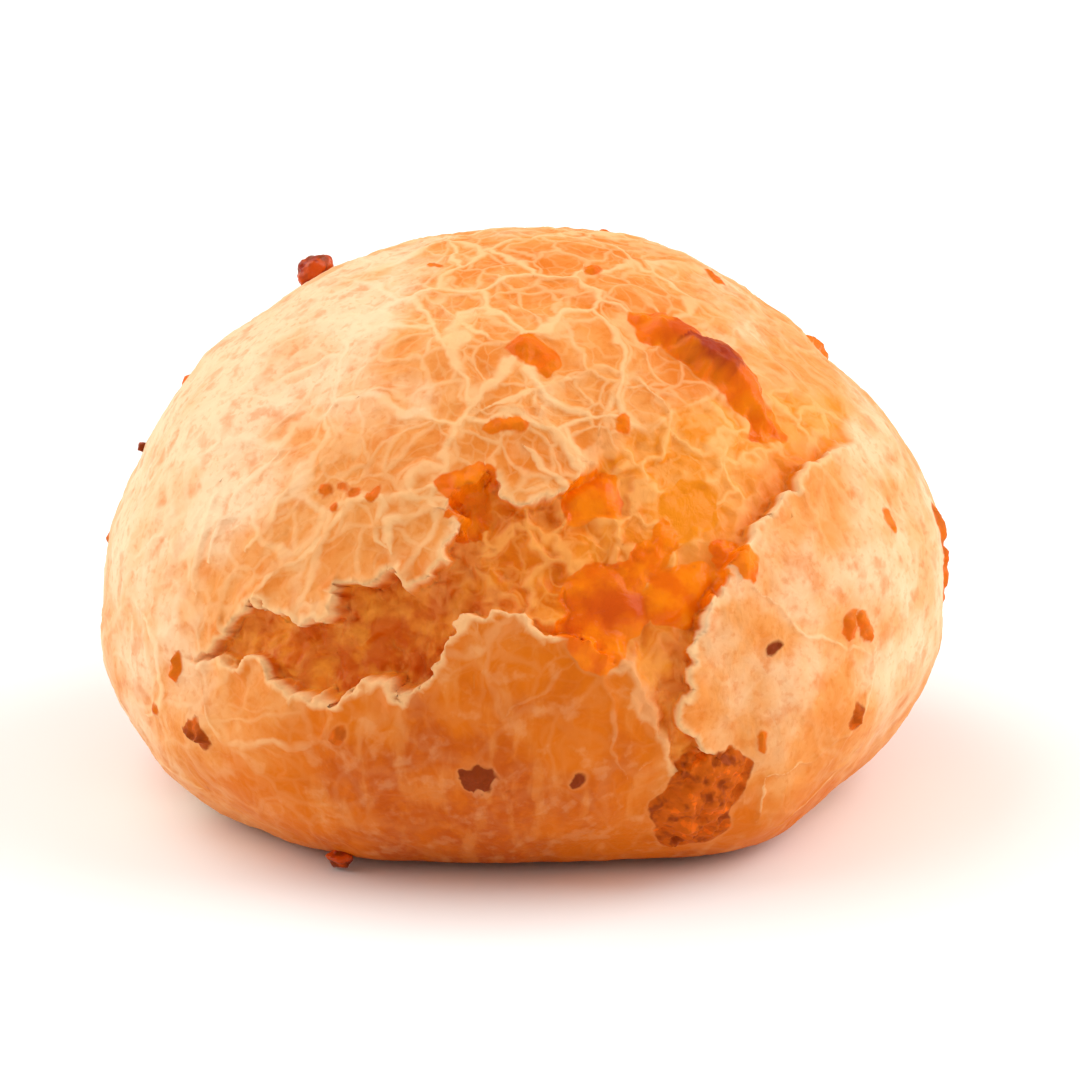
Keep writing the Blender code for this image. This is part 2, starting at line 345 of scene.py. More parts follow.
# Crumbs of cheese that stand off the crust
Crumb = namedtuple("Crumb", "bearing rise size")
CRUMBS = (
    Crumb(-115, 55, 2.3),
    Crumb(-94, 24, 0.7),
    Crumb(-31, -22.5, 1.4),
    Crumb(140, 30, 1.3),
    Crumb(-140, 24, 1.6),
)
CRUMB_SHAPE = Vector((0.62, 0.46, 0.42))  # half of its length, width and height, as shares of its size
CRUMB_LIFT = 0.24  # how far its middle is above the crust, as a share of its size
CRUMB_DENTS = ((1.3, 0.35), (4, 0.12))  # how many fit in one radius, and how deep they are
OUTSIDE = 60 * MM  # farther from the centre than any of the crust
CRUMB_LEVELS = 4  # how finely a crumb's ball is cut


def direction(bearing, rise):
    """The unit vector from the ball's centre to a place on the crust."""
    turn = math.radians(bearing)
    climb = math.radians(rise)
    return np.array((math.cos(climb) * math.sin(turn), -math.cos(climb) * math.cos(turn), math.sin(climb)))


def eased(part):
    """Rises smoothly from 0 to 1 as part does."""
    part = np.clip(part, 0, 1)
    return part * part * (3 - 2 * part)


def smaller_of(first, second, blend):
    """The smaller of two lengths, rounded over where they are within blend of each other."""
    share = np.clip(0.5 + 0.5 * (second - first) / blend, 0, 1)
    return second + (first - second) * share - blend * share * (1 - share)


def unit(vectors):
    return vectors / np.linalg.norm(vectors, axis=-1, keepdims=True)


def chart_axes(bearing, rise):
    """The outward, rightward and upward unit vectors at a place on the crust."""
    out = direction(bearing, rise)
    right = unit(np.cross((0, 0, 1), out))
    return out, right, np.cross(out, right)


def to_chart(outs, bearing, rise):
    """Directions as millimetres right of and above a place, measured along the crust."""
    out, right, up = chart_axes(bearing, rise)
    angle = np.arccos(np.clip(outs @ out, -1, 1))
    stretch = CRUST_RADIUS * angle / np.maximum(np.sin(angle), TINY)
    return np.stack((outs @ right * stretch, outs @ up * stretch), axis=-1)


def directions(spots):
    return np.array([direction(spot.bearing, spot.rise) for spot in spots])


def chart_places(spots, bearing, rise):
    """Where some spots on the crust are on the chart of a place."""
    return to_chart(directions(spots), bearing, rise)


def from_chart(points, bearing, rise):
    """The directions of points on the chart of a place."""
    out, right, up = chart_axes(bearing, rise)
    reach = np.maximum(np.hypot(points[:, :1], points[:, 1:]), TINY)
    aside = (points[:, :1] * right + points[:, 1:] * up) / reach
    return np.cos(reach / CRUST_RADIUS) * out + np.sin(reach / CRUST_RADIUS) * aside


def new_object(name, data):
    """An object, in the scene."""
    made = bpy.data.objects.new(name, data)
    bpy.context.scene.collection.objects.link(made)
    return made


def new_mesh(name, shape):
    """A mesh of a bmesh, which it frees."""
    mesh = bpy.data.meshes.new(name)
    shape.to_mesh(mesh)
    shape.free()
    return mesh


class Graph:
    """Adds nodes to a shader or geometry tree, each joined to what it reads."""

    def __init__(self, tree):
        self.tree = tree

    def add(self, kind, inputs=None, **settings):
        node = self.tree.nodes.new(kind)
        for name, value in settings.items():
            setattr(node, name, value)
        for key, value in (inputs or {}).items():
            if isinstance(value, bpy.types.NodeSocket):
                self.tree.links.new(value, node.inputs[key])
            else:
                node.inputs[key].default_value = value
        return node

    def math(self, operation, *values):
        return self.add("ShaderNodeMath", dict(enumerate(values)), operation=operation).outputs[0]

    def times(self, first, second):
        return self.math("MULTIPLY", first, second)

    def rise(self, value, low, high, top=1.0):
        """0 where value is low, top where it is high, and smooth between."""
        inputs = {"Value": value, "From Min": low, "From Max": high, "To Max": top}
        return self.add("ShaderNodeMapRange", inputs, interpolation_type="SMOOTHSTEP").outputs[0]

    def noise(self, vector, size, detail=2.0, output="Fac"):
        """Noise from 0 to 1 whose largest blotches are about size across."""
        inputs = {"Vector": vector, "Scale": 1 / size, "Detail": detail, "Roughness": NOISE_ROUGHNESS}
        return self.add("ShaderNodeTexNoise", inputs, noise_dimensions="3D").outputs[output]

    def bump(self, shader, height, distance):
        """Gives a shader a bumpy surface."""
        inputs = {"Height": height, "Distance": distance, "Strength": BUMP_STRENGTH}
        self.tree.links.new(self.add("ShaderNodeBump", inputs).outputs[0], shader.inputs["Normal"])

    def lines(self, vector, size):
        """The distance from the nearest line of a net of cells about size across."""
        inputs = {"Vector": vector, "Scale": 1 / size}
        cells = self.add("ShaderNodeTexVoronoi", inputs, feature="DISTANCE_TO_EDGE")
        return self.math("MULTIPLY", cells.outputs["Distance"], size)

    def mix(self, share, first, second):
        """A colour between two colours."""
        node = self.add("ShaderNodeMix", data_type="RGBA")
        sockets = [socket for socket in node.inputs if socket.type == "RGBA"]
        for socket, value in ((node.inputs[0], share), (sockets[0], first), (sockets[1], second)):
            if isinstance(value, bpy.types.NodeSocket):
                self.tree.links.new(value, socket)
            else:
                socket.default_value = value
        return next(socket for socket in node.outputs if socket.type == "RGBA")


def read_texture(points, build, width=1):
    """A texture's value at each point, from build, which takes a Graph and the points' socket and returns
    the value's socket. Width is 3 where the value is a colour."""
    mesh = bpy.data.meshes.new("probe")
    mesh.vertices.add(len(points))
    mesh.vertices.foreach_set("co", np.asarray(points, np.float32).ravel())
    probe = new_object("probe", mesh)
    tree = bpy.data.node_groups.new("probe", "GeometryNodeTree")
    tree.interface.new_socket("Geometry", in_out="INPUT", socket_type="NodeSocketGeometry")
    tree.interface.new_socket("Geometry", in_out="OUTPUT", socket_type="NodeSocketGeometry")
    graph = Graph(tree)
    position = graph.add("GeometryNodeInputPosition").outputs[0]
    inputs = {
        "Geometry": graph.add("NodeGroupInput").outputs[0],
        "Name": "found",
        "Value": build(graph, position),
    }
    kind = "FLOAT" if width == 1 else "FLOAT_VECTOR"
    store = graph.add("GeometryNodeStoreNamedAttribute", inputs, data_type=kind)
    graph.add("NodeGroupOutput", {0: store.outputs[0]})
    probe.modifiers.new("probe", "NODES").node_group = tree
    evaluated = probe.evaluated_get(bpy.context.evaluated_depsgraph_get())
    found = np.empty(len(points) * width, np.float32)
    data = evaluated.data.attributes["found"].data
    data.foreach_get("value" if width == 1 else "vector", found)
    bpy.data.objects.remove(probe)
    bpy.data.meshes.remove(mesh)
    bpy.data.node_groups.remove(tree)
    return found.astype(float).reshape(len(points), width).squeeze()


def wander(points, size, reach, width=1):
    """Noise that runs from about -reach to reach, with blotches about size across."""
    output = "Fac" if width == 1 else "Color"
    found = read_texture(points, lambda graph, place: graph.noise(place, size, output=output), width)
    return (found - 0.5) * 2 * reach


def bends(outs, kinds):
    """Small shifts of points on a chart, which make an outline ragged."""
    return sum(wander(outs * CRUST_RADIUS, *kind, width=3)[:, :2] for kind in kinds)


def swell_height(outs):
    total = np.zeros(len(outs))
    for swell in SWELLS:
        away = np.degrees(np.arccos(np.clip(outs @ direction(swell.bearing, swell.rise), -1, 1)))
        total += swell.height * np.exp(-((away / swell.spread) ** 2))
    return total


def rough_height(outs, rough):
    places = (outs * rough.frequency + np.array(rough.offset)).tolist()
    return rough.height * np.array([noise.noise(place) for place in places])


def dome_radius(outs):
    """How far the plain ball reaches along each direction: two half ellipsoids that meet at the waist."""
    reach = np.where(outs[:, 2] > 0, HEIGHT - WAIST_HEIGHT, LOWER_REACH)
    parts = (outs[:, 0] / (WIDTH / 2), outs[:, 1] / (DEPTH / 2), outs[:, 2] / reach)
    return 1 / np.sqrt(sum(part**2 for part in parts))


def to_outline(points, corners, values):
    """For points on a chart: the distance from a closed outline, negative inside it, the value at the
    outline's nearest point, and the way to the outline, which is a unit vector except near a corner."""
    nearest = np.full(len(points), np.inf)
    value = np.zeros(len(points))
    towards = np.zeros((len(points), 2))
    weight = np.full((len(points), 1), FAINTEST)
    inside = np.zeros(len(points), bool)
    x, y = points.T
    for index, start in enumerate(corners):
        after = (index + 1) % len(corners)
        run = corners[after] - start
        along = np.clip((points - start) @ run / (run @ run), 0, 1)
        away = start + along[:, None] * run - points
        gap = np.linalg.norm(away, axis=1, keepdims=True)
        share = np.exp(-((gap / CORNER_BLEND) ** 2))
        towards += share * away / np.maximum(gap, TINY)
        weight += share
        gap = gap[:, 0]
        closer = gap < nearest
        nearest[closer] = gap[closer]
        value[closer] = (values[index] + along * (values[after] - values[index]))[closer]
        spans = (start[1] > y) != (corners[after][1] > y)
        if run[1]:
            inside ^= spans & (x < start[0] + (y - start[1]) / run[1] * run[0])
    return np.where(inside, -nearest, nearest), value, towards / weight


def split_outline(path, bearing, rise):
    """The corners of a split's outline on the chart of a place: up one side and down the other."""
    middles = chart_places(path, bearing, rise)
    along = unit(np.gradient(middles, axis=0))
    aside = np.stack((-along[:, 1], along[:, 0]), axis=-1) * [[point.half_width] for point in path]
    return np.concatenate((middles + aside, (middles - aside)[::-1]))


def spread_between(points, places, values, blend):
    """Values known at some places, blended over the points between them."""
    total = np.zeros((len(points), *values.shape[1:]))
    weight = np.zeros((len(points), *[1] * (values.ndim - 1)))
    for place, value in zip(places, values):
        share = np.exp(-(((points - place) ** 2).sum(axis=1) / blend**2)) + FAINTEST
        share = share.reshape(weight.shape)
        total += share * value
        weight += share
    return total / weight


class Tears:
    """Where the crust is torn, for each direction: beyond is the distance from the nearest tear's edge,
    negative inside it, and inward is the way along the crust into the tear."""

    FAR = 9.0  # the distance stated where no tear is near

    def __init__(self, outs):
        self.outs = outs
        self.beyond = np.full(len(outs), self.FAR)
        self.crisp, self.depth, self.bubbles, self.skin = np.zeros((4, len(outs)))
        self.inward = np.zeros((len(outs), 3))
        self.add_front()
        for split in SPLITS:
            self.add_split(split)

    def take(self, near, chart, points, found, inside_values):
        """Keeps a tear's values where its edge is the nearest."""
        beyond, crisp, towards = found
        beyond = beyond - LIP_OVERHANG * crisp
        closer = beyond < self.beyond[near]
        rows = np.flatnonzero(near)[closer]
        self.beyond[rows] = beyond[closer]
        self.crisp[rows] = crisp[closer]
        values = np.broadcast_to(inside_values, (len(beyond), 3))[closer]
        self.depth[rows], self.bubbles[rows], self.skin[rows] = values.T
        signs = np.where(found[0] < 0, -1, 1)[:, None]
        inward = (from_chart(points + towards, *chart) - from_chart(points, *chart)) * CRUST_RADIUS
        self.inward[rows] = (signs * inward)[closer]

    def add_front(self):
        chart = FRONT_MIDDLE
        near = self.outs @ direction(*chart) > math.cos(math.radians(FRONT_REACH))
        outs = self.outs[near]
        points = to_chart(outs, *chart)
        points += bends(outs, RAGGED_TEAR)
        corners = chart_places(FRONT_TEAR, *chart)
        found = to_outline(points, corners, np.array([edge.crisp for edge in FRONT_TEAR]))
        places = chart_places(FRONT_INSIDE, *chart)
        values = np.array([(place.depth, place.bubbles, place.skin) for place in FRONT_INSIDE])
        self.take(near, chart, points, found, spread_between(points, places, values, INSIDE_BLEND))

    def add_split(self, split):
        middle = split.path[len(split.path) // 2]
        chart = (middle.bearing, middle.rise)
        near = self.outs @ direction(*chart) > math.cos(math.radians(SPLIT_REACH))
        outs = self.outs[near]
        points = to_chart(outs, *chart)
        points += bends(outs, RAGGED_SPLIT)
        corners = split_outline(split.path, *chart)
        one_side = [min(1, point.half_width) for point in split.path]
        found = to_outline(points, corners, np.array(one_side + one_side[::-1]))
        self.take(near, chart, points, found, (split.depth, SPLIT_BUBBLES, 0))


class CheeseMap:
    """Where the cheese is, for each direction: level is how far inside an outline, negative outside all."""

    FAR = -9.0  # the level stated where no cheese is near

    def __init__(self, outs):
        grain = outs * CRUST_RADIUS
        self.level = np.full(len(outs), self.FAR)
        self.height, self.burn, self.core = np.zeros((3, len(outs)))
        edge = wander(grain, *CHEESE_RAGGED)
        large_shifts = bends(outs, CHEESE_BENDS)
        small_shifts = bends(outs, SMALL_BENDS)
        for piece in CHEESE:
            reach = piece.length / 2 + CHEESE_MARGIN
            half = piece.width / 2
            near = outs @ direction(piece.bearing, piece.rise) > math.cos(reach / CRUST_RADIUS)
            points = to_chart(outs[near], piece.bearing, piece.rise)
            points += (small_shifts if piece.width < SMALL_CHEESE else large_shifts)[near] * min(1, half)
            slant = math.radians(piece.slant)
            run = np.array((math.cos(slant), math.sin(slant))) * (piece.length - piece.width) / 2
            along = np.clip(points @ run / max(run @ run, TINY), -1, 1)
            gap = np.linalg.norm(points - along[:, None] * run, axis=1)
            level = half - gap + edge[near] * min(1, half)
            closer = level > self.level[near]
            rows = np.flatnonzero(near)
            self.burn[rows[closer]] = piece.burn
            self.level[rows[closer]] = level[closer]
            height = piece.height * eased(level / (half * CHEESE_SLOPE))
            self.height[rows] = np.maximum(self.height[rows], height)
        for core in CORES:
            away = np.arccos(np.clip(outs @ direction(core.bearing, core.rise), -1, 1)) * CRUST_RADIUS
            self.core = np.maximum(self.core, eased(CORE_EDGE - away / core.radius + CORE_RAGGED * edge))
        self.cover = eased(self.level / CHEESE_COVER)


# The crust's net of pale cracks: how large its cells are, and how wide, high and pale the ridges along them
Net = namedtuple("Net", "size width height shade")
NETS = (
    Net(6.0, 0.36, 0.12, 0.85),
    Net(2.8, 0.24, 0.08, 0.5),
    Net(1.4, 0.14, 0.03, 0.2),
)

# Long pale lines that part the crust into tiles
Line = namedtuple("Line", "width path")
LINES = (
    # two leaf-shaped tiles over the deep tear
    Line(0.42, ((-41, 16), (-38, 21), (-32, 26), (-30, 30), (-27, 33), (-23, 33), (-22, 29), (-19, 26))),
    Line(0.36, ((-19, 26), (-20, 28), (-21, 31), (-16, 32.5), (-11, 32))),
    Line(0.3, ((-20, 34), (-16, 35), (-12, 36))),
    # a tile on the lower plate's left, and lines that run down from its lip
    Line(0.3, ((-48, 5), (-46, 0), (-43, -3), (-38, -2), (-31, -1), (-26, 1), (-25, 5), (-23, 8))),
    Line(0.18, ((-5, 19), (-6, 15), (-6, 9))),
    Line(0.2, ((7, 14), (5, 11), (1, 8), (-3, 5))),
    Line(0.2, ((10, 13), (12, 8), (13, 1), (16, -6))),
    Line(0.26, ((13, 13), (16, 9), (18, 5), (19, 1), (17, -3))),
    # the right plate
    Line(0.2, ((34, 20), (39, 15), (43, 11), (52, 8), (55, 5), (54, -1), (49, -4), (43, -6), (36, -7))),
    Line(0.16, ((36, -7), (36, -14))),
    Line(0.18, ((55, -7), (48, -13), (40, -17))),
    # tiles of the cap
    Line(0.34, ((-10, 47), (-1, 50), (8, 53), (18, 55), (27, 52), (31, 48))),
    Line(0.34, ((3, 53), (4, 47), (9, 42), (14, 40), (10, 37))),
    Line(0.36, ((40, 57), (28, 54), (19, 49), (16, 45))),
    Line(0.3, ((1, 43), (6, 39), (9, 36))),
    Line(0.38, ((-16, 80), (-11, 72), (2, 66), (14, 65), (23, 72), (44, 77))),
    Line(0.3, ((-33, 68), (-16, 63), (-4, 59))),
    Line(0.3, ((43, 74), (50, 68), (50, 63))),
    Line(0.32, ((31, 48), (32, 43), (29, 40), (26, 39))),
    # lines round the left end of the tear
    Line(0.4, ((-65, 11), (-58, 7), (-56, -1), (-62, -5))),
    Line(0.3, ((-66, 9), (-65, 2))),
    Line(0.3, ((-66, -7), (-67, -13), (-56, -12), (-52, -14))),
    # folds of the cap's left
    Line(0.34, ((-50, 20), (-51, 26), (-49, 32), (-46, 37))),
    Line(0.34, ((-44, 23), (-42, 27), (-39, 33), (-35, 38))),
    Line(0.3, ((-51, 15), (-53, 22), (-54, 29))),
)
LINE_HEIGHT = 0.1
LINE_RAGGED = (Ragged(2.4, 0.9), Ragged(0.8, 0.2))
LINE_TAPER = 0.3  # the share of a line's length over which each end thins out
LEAST_TAPER = 0.25
FAR_LINE = 3.0  # the distance stated where no line is near
LINE_REACH = 40  # degrees from its middle that any line reaches

# How baked the crust is, with painted shade that darkens it low on the front: 0 where it is cream,
# 1 where it is the dark underside
Bake = namedtuple("Bake", "bearing rise amount")
BAKES_AND_SHADE = (
    Bake(-73, 55, 0.05),
    Bake(-69, 24, -0.04),
    Bake(-61, 35, 0.1),
    Bake(9, 75, 0.52),
    Bake(-15, 46, 0.3),
    Bake(-29, 27, 0.4),
    Bake(-2, 42, 0.5),
    Bake(-8, 60, 0.4),
    Bake(15, 51, 0.56),
    Bake(70, 45, 0.32),
    Bake(54, 25, 0.28),
    Bake(45, 16, 0.34),
    Bake(36, 4, 0.22),
    Bake(69, 4, 0.02),
    # the lower front, darker partly from baking and partly as painted shade
    Bake(-3, 8, 0.74),
    Bake(-39, -2, 0.55),
    Bake(-14, -5, 1.15),
    Bake(12, -6, 0.85),
    Bake(-3, -14, 1),
    Bake(-59, -17, 0.1),
    Bake(46, -10, 0.5),
    Bake(-63, 6, 0.22),
    Bake(-40, -24, 0.9),
    Bake(40, -24, 0.9),
    Bake(85, 20, 0.2),
    Bake(80, -16, 0.5),
    Bake(120, 20, 0.3),
    Bake(110, -14, 0.75),
    Bake(160, 8, 0.5),
    Bake(170, 50, 0.4),
    Bake(170, -10, 0.85),
    Bake(-150, 10, 0.45),
    Bake(-140, -14, 0.8),
    Bake(-110, 40, 0.15),
    Bake(-100, -14, 0.55),
    Bake(-105, 8, 0.2),
    Bake(-150, 60, 0.3),
    Bake(0, -60, 1),
)
BAKE_AND_SHADE_BLEND = 7.0

# The walls between the bubbles in the tears, and the other unevenness there
BUBBLES = (
    Net(3.2, 0.4, 0.3, 0.9),
    Net(1.5, 0.2, 0.08, 0.4),
)
BUBBLE_BENDS = Ragged(2.4, 1.9)
STRANDS = Ragged(1.2, 0.36)
STRAND_STRETCH = (1, 1, 0.35)
SKIN_FOLDS = Ragged(1.4, 0.12)
TEAR_BUMPS = Ragged(2.6, 0.9)

# How strong the net of cracks is and how much the crust is folded there, which stretches the net's cells
Crackle = namedtuple("Crackle", "bearing rise strength folds")
CRACKLE = (
    Crackle(0, 62, 1, 0),
    Crackle(-5, 45, 1, 0.1),
    Crackle(0, 80, 0.9, 0),
    Crackle(-30, 48, 0.8, 0.5),
    Crackle(-32, 28, 0.65, 0.7),
    Crackle(-15, 34, 0.5, 0.2),
    Crackle(-52, 24, 0.75, 0.9),
    Crackle(-75, 20, 0.5, 0.8),
    Crackle(-80, 45, 0.5, 0.4),
    Crackle(40, 62, 0.7, 0),
    Crackle(75, 45, 0.35, 0),
    Crackle(45, 14, 0.2, 0),
    Crackle(65, 10, 0.25, 0.1),
    Crackle(90, 15, 0.35, 0.2),
    Crackle(-20, 0, 0.06, 0),
    Crackle(5, 5, 0.1, 0),
    Crackle(0, -14, 0.05, 0),
    Crackle(-40, -16, 0.15, 0),
    Crackle(-60, 0, 0.4, 0.2),
    Crackle(30, -8, 0.12, 0),
    Crackle(130, 40, 0.8, 0.2),
    Crackle(180, 50, 0.9, 0),
    Crackle(-130, 45, 0.8, 0.5),
    Crackle(120, 10, 0.3, 0.1),
    Crackle(180, 5, 0.35, 0),
    Crackle(170, -16, 0.1, 0),
    Crackle(-125, -16, 0.1, 0),
    Crackle(115, -16, 0.1, 0),
    Crackle(-120, 5, 0.4, 0.4),
)
CRACKLE_BLEND = 8.0
NET_BENDS = (Ragged(7.0, 3.0), Ragged(1.6, 0.7))
CRUST_BUMPS = (Ragged(2.2, 0.16), Ragged(0.9, 0.08))
FOLD_PLACE = (-48, 30)
FOLD_SLANT = 48  # degrees that the folds climb towards the right
FOLD_STRETCH = 0.68


def crackle_fields(outs):
    """The net's strength, and the place in the net's pattern, at each direction."""
    places = directions(CRACKLE) * CRUST_RADIUS
    values = np.array([(spot.strength, spot.folds) for spot in CRACKLE])
    grain = outs * CRUST_RADIUS
    strength, folds = spread_between(grain, places, values, CRACKLE_BLEND).T
    out, right, up = chart_axes(*FOLD_PLACE)
    slant = math.radians(FOLD_SLANT)
    along = right * math.cos(slant) + up * math.sin(slant)
    reach = (grain - out * CRUST_RADIUS) @ along
    grain = grain - (folds * FOLD_STRETCH * reach)[:, None] * along
    grain += sum(wander(outs * CRUST_RADIUS, *bend, width=3) for bend in NET_BENDS)
    return strength, grain


def from_lines(outs):
    """The distance from the nearest of the long pale lines, and that line's width."""
    nearest = np.full(len(outs), FAR_LINE)
    width = np.full(len(outs), LINES[0].width)
    shifts = bends(outs, LINE_RAGGED)
    for line in LINES:
        chart = line.path[len(line.path) // 2]
        near = np.flatnonzero(outs @ direction(*chart) > math.cos(math.radians(LINE_REACH)))
        points = to_chart(outs[near], *chart) + shifts[near]
        corners = to_chart(np.array([direction(*place) for place in line.path]), *chart)
        for index, (start, end) in enumerate(zip(corners, corners[1:])):
            run = end - start
            along = np.clip((points - start) @ run / (run @ run), 0, 1)
            gap = np.linalg.norm(start + along[:, None] * run - points, axis=1)
            part = (index + along) / (len(corners) - 1)
            taper = eased(np.minimum(part, 1 - part) / LINE_TAPER)
            closer = gap < nearest[near]
            nearest[near[closer]] = gap[closer]
            width[near[closer]] = (line.width * (LEAST_TAPER + (1 - LEAST_TAPER) * taper))[closer]
    return nearest, width


def baking_and_shade(outs):
    """How baked the crust is along each direction, with painted shade low on the front."""
    places = directions(BAKES_AND_SHADE) * CRUST_RADIUS
    amounts = np.array([spot.amount for spot in BAKES_AND_SHADE])
    return spread_between(outs * CRUST_RADIUS, places, amounts, BAKE_AND_SHADE_BLEND)


def surface(outs):
    """The bread's surface along each direction from the centre, in millimetres."""
    tears = Tears(outs)
    cheese = CheeseMap(outs)
    strength, grain = crackle_fields(outs)
    wall = SOFT_WALL + (CRISP_WALL - SOFT_WALL) * tears.crisp
    inside = eased(-tears.beyond / wall)
    on_crust = 1 - inside
    rim = LIP_HEIGHT * tears.crisp * np.exp(-((np.maximum(tears.beyond, 0) / LIP_WIDTH) ** 2))
    rim *= 1 + wander(outs * CRUST_RADIUS, *LIP_BUMPS)
    relief = swell_height(outs) + rim * on_crust - tears.depth * inside
    relief += sum(rough_height(outs, rough) for rough in ROUGHS)
    for net in NETS:
        away = read_texture(grain, lambda graph, place: graph.lines(place, net.size))
        relief += net.height * strength * np.exp(-((away / net.width) ** 2)) * on_crust
    gap, width = from_lines(outs)
    relief += LINE_HEIGHT * np.exp(-((gap / width) ** 2)) * on_crust
    relief += on_crust * sum(wander(grain, *bumps) for bumps in CRUST_BUMPS)
    relief += inside * crumb_height(outs, tears) * (1 - cheese.cover)
    blisters = np.clip(cheese.burn, 0, 1) * wander(outs * CRUST_RADIUS, *BLISTERS)
    relief += cheese.height + cheese.cover * blisters
    radius = dome_radius(outs) + relief
    below = outs[:, 2] < 0
    to_tray = WAIST_HEIGHT / np.maximum(-outs[:, 2], TINY)
    radius = np.where(below, smaller_of(radius, to_tray, BASE_ROUND), radius)
    lean = LIP_OVERHANG * LEAN * tears.crisp * np.exp(-((tears.beyond / LEAN_WIDTH) ** 2))
    points = outs * radius[:, None] + tears.inward * lean[:, None]
    points[:, 2] += WAIST_HEIGHT
    return points


def foam_places(outs):
    """The place in the bubbles' pattern at each direction."""
    return outs * CRUST_RADIUS + wander(outs * CRUST_RADIUS, *BUBBLE_BENDS, width=3)


def crumb_height(outs, tears):
    """The uneven surface inside the tears: bubbles, strands and stretched skin."""
    grain = foam_places(outs)
    bubbles = 0
    for net in BUBBLES:
        away = read_texture(grain, lambda graph, place: graph.lines(place, net.size))
        bubbles = np.maximum(bubbles, net.height * np.exp(-((away / net.width) ** 2)))
    strands = wander(grain * STRAND_STRETCH, *STRANDS)
    skin = 0.5 * bubbles + wander(grain, *SKIN_FOLDS)
    uneven = wander(grain, *TEAR_BUMPS) * (1 - 0.5 * tears.skin)
    rough = (1 - tears.skin) * (1 - 0.6 * tears.bubbles) * strands
    return uneven + tears.bubbles * bubbles + rough + tears.skin * skin


def fit_to_cad(points):
    """Stretches the points a little, so that their box is the solid's."""
    low = points.min(axis=0)
    high = points.max(axis=0)
    return LOW + (points - low) / (high - low) * (HIGH - LOW)


def unit_ball():
    """A cube whose faces are cut into a fine even grid, and the direction of each of its points."""
    ball = bmesh.new()
    bmesh.ops.create_cube(ball, size=2)
    bread = new_object("bread", new_mesh("bread", ball))
    cuts = bread.modifiers.new("grid", "SUBSURF")
    cuts.subdivision_type = "SIMPLE"
    cuts.levels = GRID_LEVELS
    cuts.render_levels = GRID_LEVELS
    apply_modifiers(bread)
    corners = np.empty(len(bread.data.vertices) * 3)
    bread.data.vertices.foreach_get("co", corners)
    outs = unit(np.tan(corners.reshape(-1, 3) * math.pi / 4))
    return bread, unit(outs + FRONT_PULL * direction(*PULL_PLACE))


def apply_modifiers(obj):
    evaluated = obj.evaluated_get(bpy.context.evaluated_depsgraph_get())
    mesh = bpy.data.meshes.new_from_object(evaluated)
    obj.modifiers.clear()
    before = obj.data
    obj.data = mesh
    bpy.data.meshes.remove(before)
    mesh.name = obj.name


def put_attribute(mesh, name, values):
    kind = "FLOAT" if values.ndim == 1 else "FLOAT_VECTOR"
    attribute = mesh.attributes.new(name, kind, "POINT")
    attribute.data.foreach_set("value" if values.ndim == 1 else "vector", values.astype(np.float32).ravel())


def take_attribute(mesh, name):
    values = np.empty(len(mesh.vertices) * 3, np.float32)
    mesh.attributes[name].data.foreach_get("vector", values)
    return values.astype(float).reshape(-1, 3)


def make_bread():
    bread, outs = unit_ball()
    points = fit_to_cad(surface(outs))
    bread.data.vertices.foreach_set("co", (points * MM).ravel())
    put_attribute(bread.data, "outward", outs)
    triangles = 2 * len(bread.data.polygons)
    fewer = bread.modifiers.new("fewer", "DECIMATE")
    fewer.ratio = MOST_TRIANGLES / triangles
    fewer.use_collapse_triangulate = True
    apply_modifiers(bread)
    outs = unit(take_attribute(bread.data, "outward"))
    bread.data.attributes.remove(bread.data.attributes["outward"])
    tears = Tears(outs)
    cheese = CheeseMap(outs)
    strength, grain = crackle_fields(outs)
    fields = {
        "beyond": tears.beyond,
        "crisp": tears.crisp,
        "bubbles": tears.bubbles,
        "skin": tears.skin,
        "cheese": cheese.level,
        "burn": cheese.burn,
        "core": cheese.core,
        "crackle": strength,
        "bake_and_shade": baking_and_shade(outs),
        "line": np.divide(*from_lines(outs)),
        "grain": grain,
        "foam": foam_places(outs),
        "place": outs * CRUST_RADIUS,
    }
    for name, values in fields.items():
        put_attribute(bread.data, name, values)
    bread.data.shade_smooth()
    bread.data.materials.append(bread_material())
    return bread


# How the surfaces shine and how fine their unevenness is
NOISE_ROUGHNESS = 0.5
BUMP_STRENGTH = 0.6
BREAD_BUMP = 0.1 * MM
CRUMB_BUMP = 0.06 * MM
BREAD_SPECULAR = 0.1
CRUMB_SPECULAR = 0.2
CRUMB_ROUGHNESS = 0.3
FLOOR_ROUGHNESS = 0.7
UPRIGHT_STREAKS = (1, 1, 0.3)  # how places are squeezed, so that noise turns into upright streaks
UPRIGHT_STRANDS = (1, 1, 0.5)

# Colours, in linear light
PALEST = (0.93, 0.65, 0.40, 1)
PALE = (0.91, 0.55, 0.26, 1)
CREAM = (0.88, 0.59, 0.35, 1)
PEACH = (0.80, 0.29, 0.065, 1)
BAKED = (0.69, 0.15, 0.001, 1)
UNDERSIDE = (0.52, 0.085, 0.001, 1)
AMBER = (0.74, 0.165, 0.001, 1)
CRUMB_DEEP = (0.61, 0.1, 0.001, 1)
CRUMB_LIGHT = (0.88, 0.31, 0.03, 1)
STRAND = (0.92, 0.38, 0.09, 1)
SKIN_AMBER = (0.82, 0.235, 0.008, 1)
SKIN_PALE = (0.91, 0.41, 0.12, 1)
CHEESE_ORANGE = (0.80, 0.135, 0.001, 1)
CHEESE_BRIGHT = (0.90, 0.21, 0.002, 1)
CHEESE_RED = (0.60, 0.075, 0.003, 1)
CHEESE_PURPLE = (0.33, 0.025, 0.006, 1)
CHEESE_BROWN = (0.58, 0.105, 0.001, 1)
CHEESE_DARK = (0.24, 0.032, 0.001, 1)
